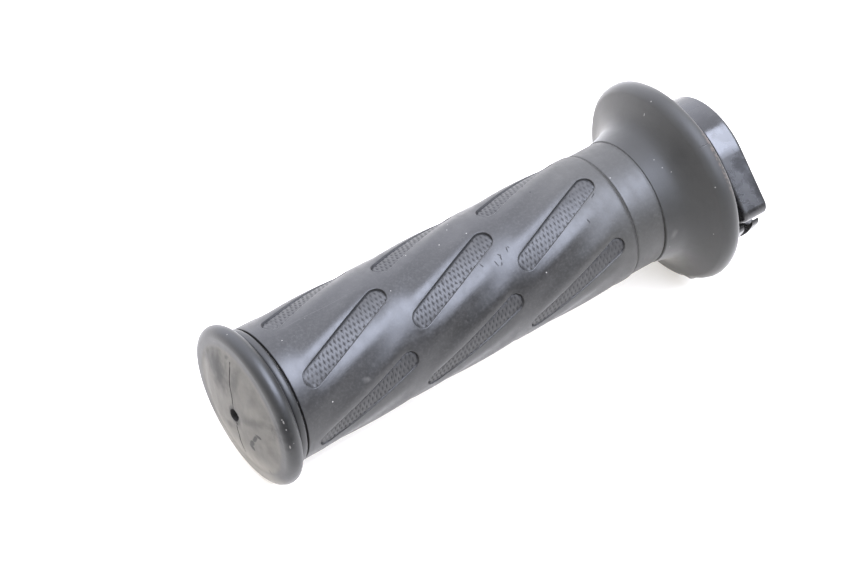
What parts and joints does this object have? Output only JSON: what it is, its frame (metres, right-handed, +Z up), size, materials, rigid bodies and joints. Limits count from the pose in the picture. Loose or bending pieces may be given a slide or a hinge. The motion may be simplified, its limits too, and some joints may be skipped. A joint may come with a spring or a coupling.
{
  "type": "motorcycle throttle grip",
  "caption": "Black rubber throttle grip with knurled slots, a closed end disc and a bell-shaped hand flange, on a plastic tube with a cable drum.",
  "frame": {"origin": "on the grip's axis at the mouth of the handlebar bore, in the drum's far face", "axes": "+X along the axis out of the bore's mouth, towards the middle of the handlebar; +Z up; the drum's lobe points towards -Y"},
  "size_m": [0.1414, 0.0536, 0.0536],
  "materials": {
    "sleeve_rubber": "satin, handled",
    "cap_rubber": "matt, scuffed",
    "flange_rubber": "matt",
    "tube_plastic": "moulded",
    "drum_plastic": "gloss, greasy"
  },
  "bodies": {
    "root": {"end_cap": "cap_rubber", "grip_sleeve": "sleeve_rubber", "hand_flange": "flange_rubber", "throttle_tube": "tube_plastic", "cable_drum": "drum_plastic"}
  },
  "joints": []
}
